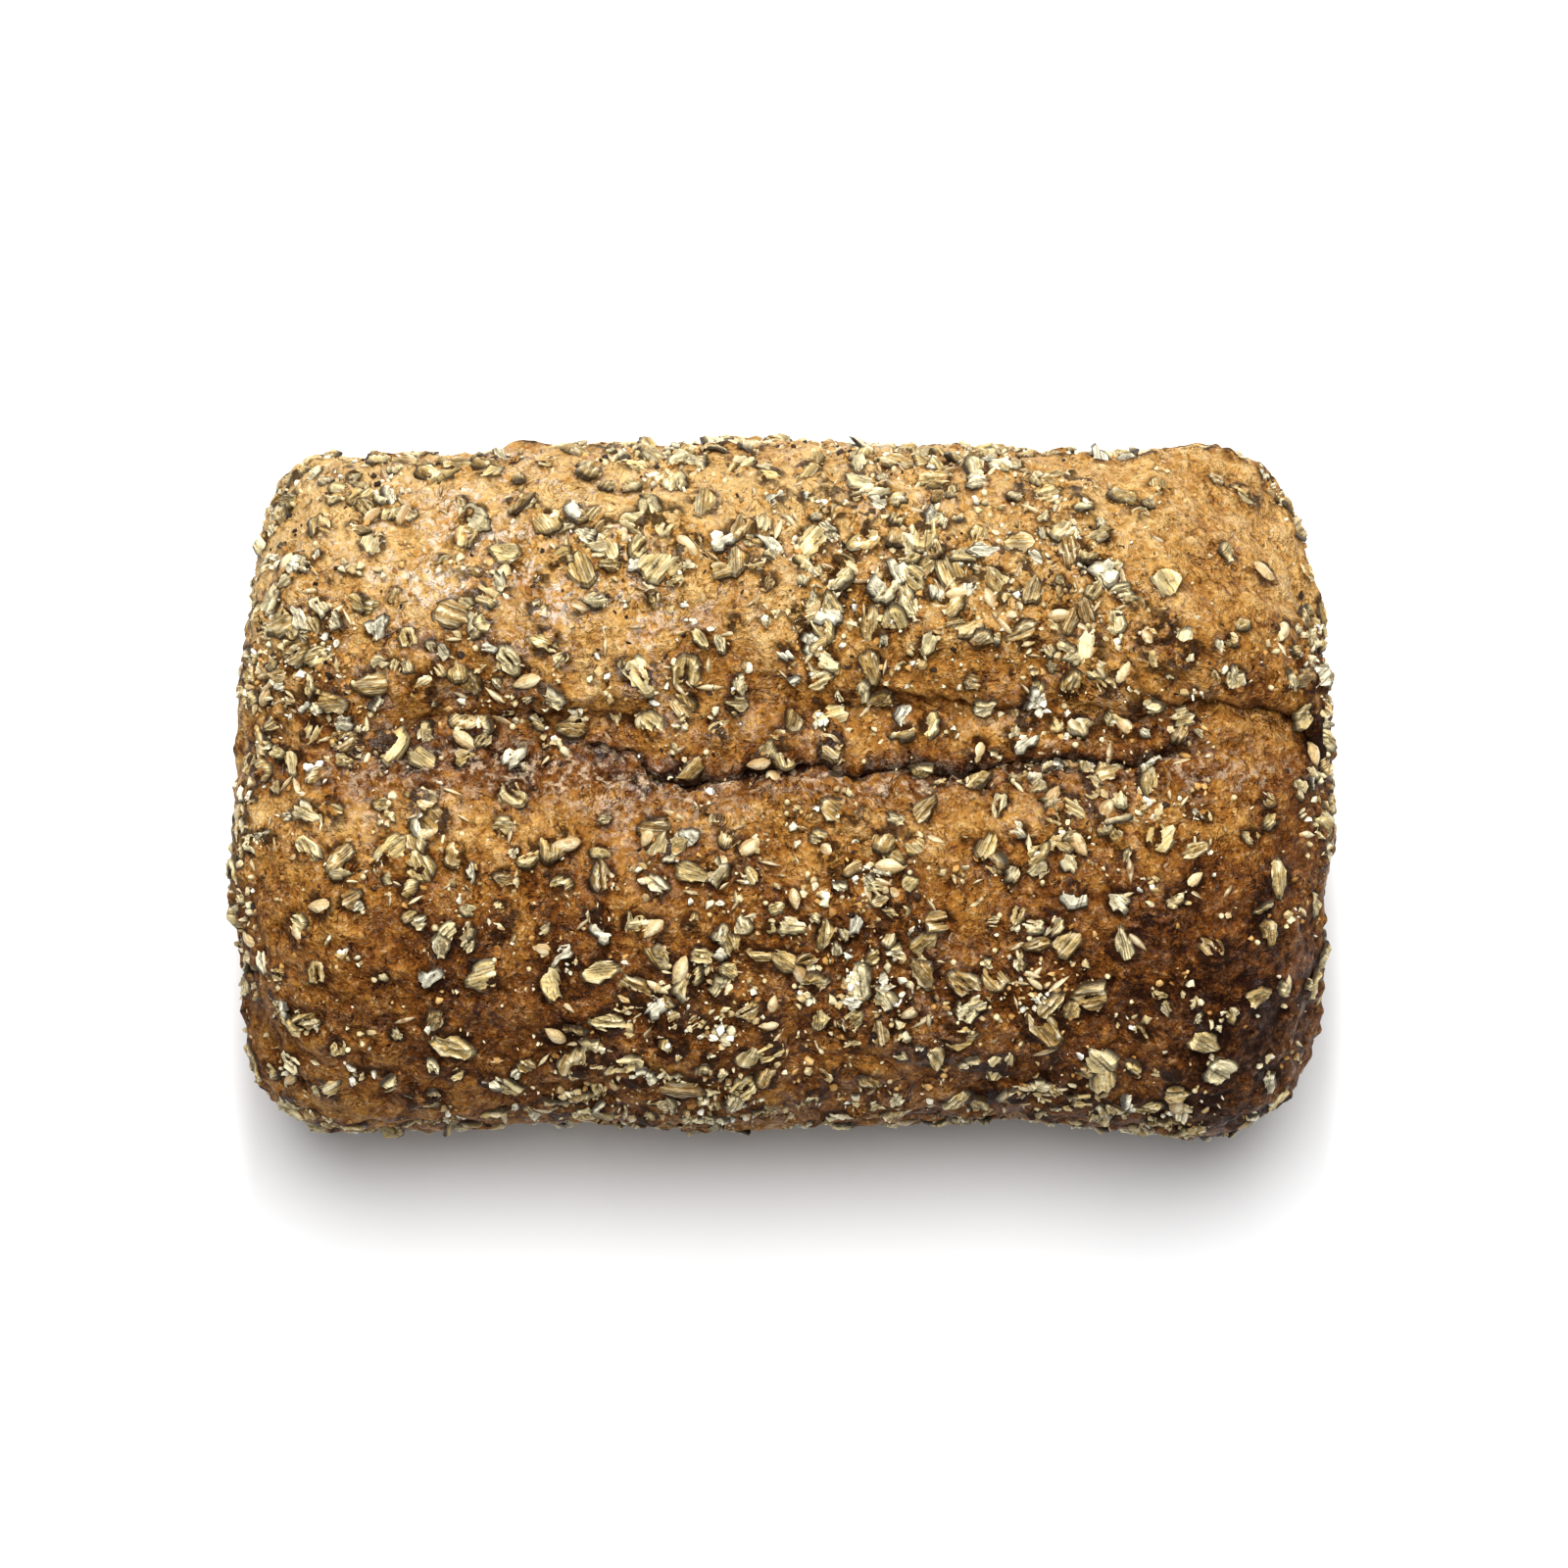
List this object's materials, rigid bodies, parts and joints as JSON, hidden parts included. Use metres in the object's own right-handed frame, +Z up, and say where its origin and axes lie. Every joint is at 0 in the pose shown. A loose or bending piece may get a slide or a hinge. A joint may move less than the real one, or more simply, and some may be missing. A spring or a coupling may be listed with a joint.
{
  "type": "multigrain tin loaf",
  "caption": "Uncut multigrain loaf baked in a tin, torn open along the middle into two long lobes and coated in rolled grain flakes, kernels and grit.",
  "frame": {"origin": "on the table, under the middle of the loaf's bounding box", "axes": "+Z up, +X along the loaf towards the end with the smooth fold of crust, +Y towards the larger, higher lobe at the back"},
  "size_m": [0.2318, 0.1468, 0.1009],
  "materials": {
    "crust": "satin"
  },
  "bodies": {
    "root": {"loaf": "crust"}
  },
  "joints": []
}
